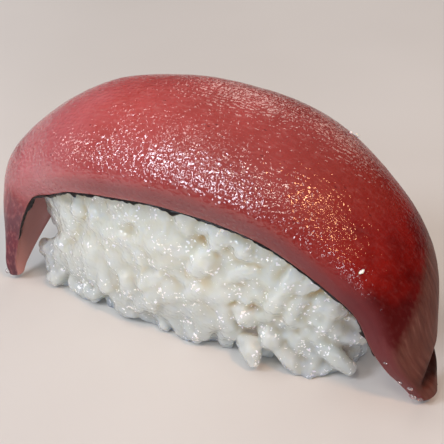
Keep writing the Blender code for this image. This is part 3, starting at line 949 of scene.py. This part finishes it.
def patches(rng, shape, size):
    """Soft random values from 0 to 1 on a grid, in patches about this many millimetres across."""
    coarse = rng.uniform(0, 1, tuple(int(n * VOXEL / size) + 3 for n in shape)).astype(np.float32)
    steps = [np.arange(n) * VOXEL / size for n in shape]
    for axis, step in enumerate(steps):
        base = step.astype(int)
        part = (step - base).reshape([-1 if i == axis else 1 for i in range(3)])
        part = part * part * (3 - 2 * part)
        coarse = coarse.take(base, axis) * (1 - part) + coarse.take(base + 1, axis) * part
    return coarse


def read_field(field, places):
    """Values of a gridded field at places given in grid steps."""
    places = np.clip(places, 0, np.array(field.shape) - 1.001)
    base = places.astype(int)
    part = places - base
    total = 0
    for corner in np.ndindex(2, 2, 2):
        weight = np.prod(np.where(corner, part, 1 - part), axis=1)
        total = total + weight * field[tuple((base + corner).T)]
    return total


def surface_normals(points, faces):
    """Outward directions at the points of a mesh of quads."""
    across = points[faces[:, 2]] - points[faces[:, 0]]
    other = points[faces[:, 3]] - points[faces[:, 1]]
    flat = np.cross(other, across)
    normals = np.zeros_like(points)
    for corner in range(4):
        np.add.at(normals, faces[:, corner], flat)
    return one_long(normals)


def joined(one, other, blend):
    """The distance to two solids together, rounded where they meet."""
    return -blend * np.log(np.exp(-one / blend) + np.exp(-other / blend))


def with_rods(field, rods, blend, sign, axes):
    """Adds rods to a solid (sign 1) or carves them out of it (sign -1), rounded where they meet it."""
    for start, end, width in rods:
        middle, long = (start + end) / 2, np.linalg.norm(end - start)
        window, points = near(middle, long / 2 + width + 1, axes)
        away = grain_distance(points, middle, (end - start) / long, long, width, ROD_BEND)
        part = np.clip(sign * field[window], -8, 8)
        field[window] = sign * joined(part, np.clip(away, -4, 4), blend)
    return field


def near(middle, reach, axes):
    """The part of the rice's grid within reach of a place, and its points."""
    low = np.array([axis[0] for axis in axes])
    first = np.maximum(((middle - reach - low) / VOXEL).astype(int), 0)
    last = ((middle + reach - low) / VOXEL).astype(int) + 2
    window = tuple(slice(a, b) for a, b in zip(first, last))
    points = np.meshgrid(*(axis[part] for axis, part in zip(axes, window)), indexing="ij")
    return window, np.stack(points, axis=-1)


def make_rice(finish, fish):
    """The block as one sticky mass: grains in a swelling wall, starch between them, pressed by the hand."""
    rng = np.random.default_rng(SEED)
    rice_low, rice_high = (np.array(corner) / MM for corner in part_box("rice"))
    low = rice_low - GRID_MARGIN
    shape = tuple(np.ceil((rice_high + GRID_MARGIN - low) / VOXEL).astype(int))
    x, y, z = (low[i] + VOXEL * np.arange(shape[i]) for i in range(3))

    length, width = block_sizes(np.clip(z, 0, None))
    centre = RICE_CENTRE + SHIFT[:2]
    ratio = (
        np.abs((x[:, None, None] - centre[0]) / length) ** RICE_EXPONENT
        + np.abs((y[None, :, None] - centre[1]) / width) ** RICE_EXPONENT
    ) ** (1 / RICE_EXPONENT)
    wall = (ratio - 1) * np.minimum(length, width)
    wall = np.maximum(wall, (z - RICE_HEIGHTS[-1] - RICE_DOME + 1)[None, None, :])
    for swell, size in SWELLS:
        wall = wall - swell * 2 * (patches(rng, shape, size) - 0.5)
    foot = np.interp(x, FOOT_AT, FOOT_OUT)[:, None] * (1 - smooth_step(0.4, 1.0, z / FOOT_HEIGHT))
    wall = wall - foot[:, None, :]
    corner = SQUARER_LEFT * (1 - smooth_step(*CORNER_X, x))[:, None] * (1 - smooth_step(*CORNER_Y, y))
    wall = wall - corner[:, :, None]
    pressed = np.exp(-np.clip(wall + CORE_INSET, -3, 6) / GRAIN_BLEND).astype(np.float64)

    clear, dents = clear_rods(wall, low)
    for middle, axis, long, wide, bend in scattered_grains(rng, wall, low, clear):
        window, points = near(middle, long / 2 + GRAIN_REACH, (x, y, z))
        away = grain_distance(points, middle, axis, long, wide, bend)
        pressed[window] += np.exp(-np.clip(away, -3, 6) / GRAIN_BLEND)

    field = (-GRAIN_BLEND * np.log(pressed)).astype(np.float32)
    least, most = PASTE_DEPTHS
    paste = blurred(field) + least + (most - least) * patches(rng, shape, PASTE_PATCHES) ** 1.5
    paste = paste + LOOSE_FOOT * (1 - smooth_step(0.2, 1.0, z / FOOT_HEIGHT))
    paste = paste + LOOSE_RIGHT * smooth_step(*LOOSE_RIGHT_X, x)[:, None, None]
    field = joined(field, paste, PASTE_BLEND)
    field = -joined(-field, PRESSED_TO - wall, PRESS_BLEND)
    field = with_rods(field, dents, CREASE_BLEND, -1, (x, y, z))
    field = with_rods(field, clear, CLEAR_BLEND, 1, (x, y, z))
    beside = slice_distance(fish, low, shape)
    solid = blurred(((field < 0) & (z >= 0)[None, None, :] | (beside < 0)).astype(np.float32))
    above = np.maximum.accumulate(beside < 0, axis=2)
    field = np.where(above, np.maximum(field, 1.0), field)
    field = np.maximum(field, CLEARANCE - beside)
    field = np.maximum(field, -z[None, None, :].astype(np.float32) + FOOT_GAP)

    grid = openvdb.FloatGrid(1.0)
    grid.copyFromArray(np.clip(field, -2, 2))
    places, faces = grid.convertToQuads(isovalue=0.0)
    # How much solid lies near each point, which colours the rice as painted shade in hollows and under the
    # slice.
    hollow_painted_shade = read_field(solid, places)
    points = (places * VOXEL + low).astype(float)
    granules = np.maximum(lumps(points, GRANULE_SIZE, 22), 0)
    granules = granules * smooth_step(-0.1, 0.4, lumps(points, GRANULE_PATCHES, 23))
    between = clump_edges(points)
    bumps = BUMP_DEPTH * lumps(points, BUMP_SIZE, 21) + GRANULE_DEPTH * granules - CLUMP_DEPTH * between
    points = points + surface_normals(points, faces) * bumps[:, None]
    points[:, 2] = np.maximum(points[:, 2], LOWEST)
    attributes = {"hollow_painted_shade": hollow_painted_shade + CLUMP_EDGE_SHADE * between}
    faces = faces[:, ::-1].tolist()
    add_piece("rice_grains", points, faces, finish, "rice", attributes)


def cooked_rice():
    """Cooked short-grain rice: plump, sticky grains that let a little light in, glossy with starch; its
    colour carries painted shade in the hollows, a painted reflection at the foot and painted glints.
    """
    made, add, shader = new_material("cooked_rice_sticky")
    place = add("TexCoord", output=3)
    hollow_painted_shade = add("Attribute", output=2, attribute_name="hollow_painted_shade")

    # Painted shade: creamier and darker in the hollows, along the edges of clumps and under the slice.
    # Painted cool reflection: greyer and bluer at the foot.
    cloud = add("TexNoise", {"Vector": place, "Scale": per(2.5), "Detail": 2.0})
    spread = add("MapRange", (cloud, 0.3, 0.7, -0.04, 0.04))
    depth = add("Math", (hollow_painted_shade, spread), operation="ADD")
    tone = add("ValToRGB", (depth,), stops=(
        (0.44, "#CBD1CB"), (0.56, "#C9CBBE"), (0.66, "#C7BE9F"), (0.78, "#BDA372"),
    ))
    height = add("SeparateXYZ", (place,), 2)
    # Painted reflection and shade: greyer and bluer towards the foot.
    foot = add("MapRange", (height, 2 * MM, 14 * MM, 0.75, 0.0))
    tone = add("Mix", {0: foot, 6: tone, 7: colour("#A8AFAF")}, 2, data_type="RGBA")

    # White specks 0.62 mm apart, each of its own size, in patches: painted glints, for the sparkle of wet
    # starch.
    wander = add("TexNoise", {"Vector": place, "Scale": per(0.5), "Detail": 0.0}, 1)
    bent = add("VectorMath", {0: wander, 3: 0.7 * MM}, operation="SCALE")
    bent = add("VectorMath", (place, bent), operation="ADD")
    speck = add("TexVoronoi", {"Vector": bent, "Scale": per(0.62)})
    chance = speck.node.outputs["Color"]
    drift = add("TexNoise", {"Vector": place, "Scale": per(3.0), "Detail": 2.0})
    size = add("MapRange", (drift, 0.36, 0.58, -0.02, 0.6))
    size = add("Math", (size, chance), operation="MULTIPLY")
    within = add("Math", (size, speck), operation="SUBTRACT")
    painted_glint_specks = add("MapRange", (within, 0.0, 0.08))
    tone = add("Mix", {0: painted_glint_specks, 6: tone, 7: colour("#FBFCFA")}, 2, data_type="RGBA")

    # Beads of starch on the grains, under the gloss.
    starch = add("TexNoise", {"Vector": place, "Scale": per(0.65), "Detail": 0.0})
    bead = add("MapRange", (speck, 0.0, 0.4, 1.0, 0.0), interpolation_type="SMOOTHSTEP")
    beaded = add("MapRange", (drift, 0.4, 0.6))
    bead = add("Math", (bead, beaded), operation="MULTIPLY")
    height = add("Math", (starch, bead), operation="ADD")
    bump = add("Bump", {"Strength": 1.0, "Distance": 0.22 * MM, "Height": height})
    give(shader, {
        "Base Color": tone, "Roughness": 0.5, "Specular IOR Level": 0.3,
        "Coat Weight": 1.0, "Coat Roughness": 0.1, "Coat Normal": bump,
        "Subsurface Weight": 1.0, "Subsurface Radius": (1.0, 0.85, 0.6), "Subsurface Scale": 6.0 * MM,
    })
    return made


# --- Stage ---
def direction(azimuth, elevation):
    """A unit vector from the nigiri: azimuth 0 is towards its front, 90 towards its right end."""
    a, e = math.radians(azimuth), math.radians(elevation)
    return Vector((math.sin(a) * math.cos(e), -math.cos(a) * math.cos(e), math.sin(e)))


def add_lamp(name, azimuth, elevation, size, power, shade):
    """A round soft lamp that points at the nigiri."""
    lamp = bpy.data.lights.new(name, "AREA")
    lamp.shape = "DISK"
    lamp.size = size
    lamp.energy = power
    lamp.color = colour(shade)[:3]
    placed = add_object(name, lamp)
    towards = direction(azimuth, elevation)
    placed.location = Vector(CAMERA_AIM * MM) + towards * LAMP_DISTANCE
    placed.rotation_euler = towards.to_track_quat("Z", "Y").to_euler()


def pale_floor():
    """A matt painted board: plain and pale, with a faint mottle."""
    stops = ((0.3, "#D3D2CE"), (0.7, "#D8D7D3"))
    return mottled_material("pale_board_matt", 60, 2.0, stops, {"Roughness": 0.7})[0]


def make_stage():
    """Floor, lamps and the dim room around them."""
    data = bpy.data.meshes.new("floor")
    corners = [(x * FLOOR_REACH, y * FLOOR_REACH, 0) for x, y in ((-1, -1), (1, -1), (1, 1), (-1, 1))]
    data.from_pydata(corners, [], [(0, 1, 2, 3)])
    data.materials.append(pale_floor())
    floor = add_object("floor", data)

    world = bpy.data.worlds.new("studio")
    world.use_nodes = True
    add = partial(add_node, world.node_tree)
    height = add("SeparateXYZ", (add("TexCoord", output=0),), 2)
    sky = add("ValToRGB", (height,), stops=((0.0, "#3A3C40"), (0.25, "#565A60"), (0.9, "#E6EAF0")))
    give(world.node_tree.nodes["Background"], {"Color": sky, "Strength": ROOM_LIGHT})
    bpy.context.scene.world = world
    for lamp in LAMPS:
        add_lamp(*lamp)


def make_camera():
    """The camera at its place, level but for a slight roll."""
    back = direction(CAMERA_AZIMUTH, CAMERA_ELEVATION)
    lens = bpy.data.cameras.new("camera")
    lens.lens = CAMERA_LENS
    lens.sensor_width = SENSOR_WIDTH
    lens.clip_start = NEAREST * MM
    camera = add_object("camera", lens)
    place = Matrix.Translation(Vector(CAMERA_AIM * MM) + back * CAMERA_DISTANCE * MM)
    level = back.to_track_quat("Z", "Y").to_matrix().to_4x4()
    camera.matrix_world = place @ level @ Matrix.Rotation(math.radians(CAMERA_ROLL), 4, "Z")
    bpy.context.scene.camera = camera


SHIFT = to_frame()
fish_slice, fine_loops = make_fish(raw_fish())
make_specks("crumbs", CRUMBS, rice_crumb(), 0.25, fine_loops)
make_specks("droplets", DROPLETS, clear_water(), 0.1, fine_loops)
make_skin(dark_skin())
make_rice(cooked_rice(), fish_slice)
make_stage()
make_camera()
bpy.context.scene.view_settings.view_transform = "Standard"
